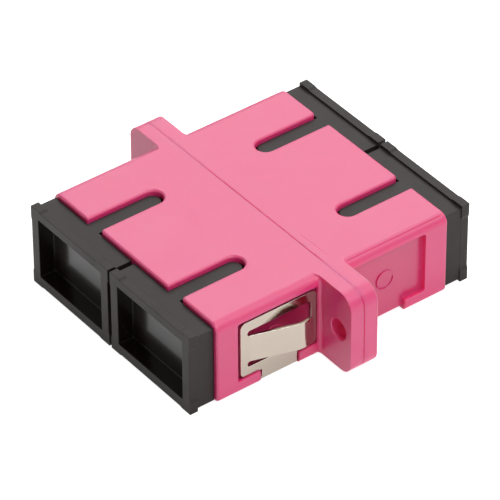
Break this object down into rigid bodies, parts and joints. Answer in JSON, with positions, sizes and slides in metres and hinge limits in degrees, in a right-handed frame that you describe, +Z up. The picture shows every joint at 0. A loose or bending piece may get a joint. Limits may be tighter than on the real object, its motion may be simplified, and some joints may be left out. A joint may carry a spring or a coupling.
{
  "type": "fibre optic adapter",
  "caption": "Duplex SC fibre adapter: flanged two-part plastic housing with sleeves inside, a metal spring clip for a panel and a slide-out dust cap in each port.",
  "frame": {"origin": "on the surface that the dust caps' rims rest on, below the middle of the flange and half way between the two ports", "axes": "+X along the flange towards the ear seen in the picture, +Y along the fibres towards the half without the clip, +Z up towards the key slots"},
  "size_m": [0.0345, 0.033, 0.0093],
  "materials": {
    "housing_plastic": "satin pink",
    "clip_steel": "satin nickel plated",
    "holder_plastic": "natural, satin",
    "sleeve_ceramic": "polished zirconia",
    "cap_plastic": "black, satin"
  },
  "bodies": {
    "adapter": {"housing_front": "housing_plastic", "housing_rear": "housing_plastic", "panel_clip": "clip_steel", "latch_holder_front_left": "holder_plastic", "latch_holder_front_right": "holder_plastic", "latch_holder_rear_left": "holder_plastic", "latch_holder_rear_right": "holder_plastic", "sleeve_left": "sleeve_ceramic", "sleeve_right": "sleeve_ceramic"},
    "front_left_cap": {"dust_cap_front_left": "cap_plastic"},
    "front_right_cap": {"dust_cap_front_right": "cap_plastic"},
    "rear_left_cap": {"dust_cap_rear_left": "cap_plastic"},
    "rear_right_cap": {"dust_cap_rear_right": "cap_plastic"}
  },
  "joints": [
    {"name": "front_left_cap_slide", "type": "slide", "parent": "adapter", "child": "front_left_cap", "axis": [0, -1, 0], "range_m": [0, 0.012]},
    {"name": "front_right_cap_slide", "type": "slide", "parent": "adapter", "child": "front_right_cap", "axis": [0, -1, 0], "range_m": [0, 0.012]},
    {"name": "rear_left_cap_slide", "type": "slide", "parent": "adapter", "child": "rear_left_cap", "axis": [0, 1, 0], "range_m": [0, 0.012]},
    {"name": "rear_right_cap_slide", "type": "slide", "parent": "adapter", "child": "rear_right_cap", "axis": [0, 1, 0], "range_m": [0, 0.012]}
  ]
}
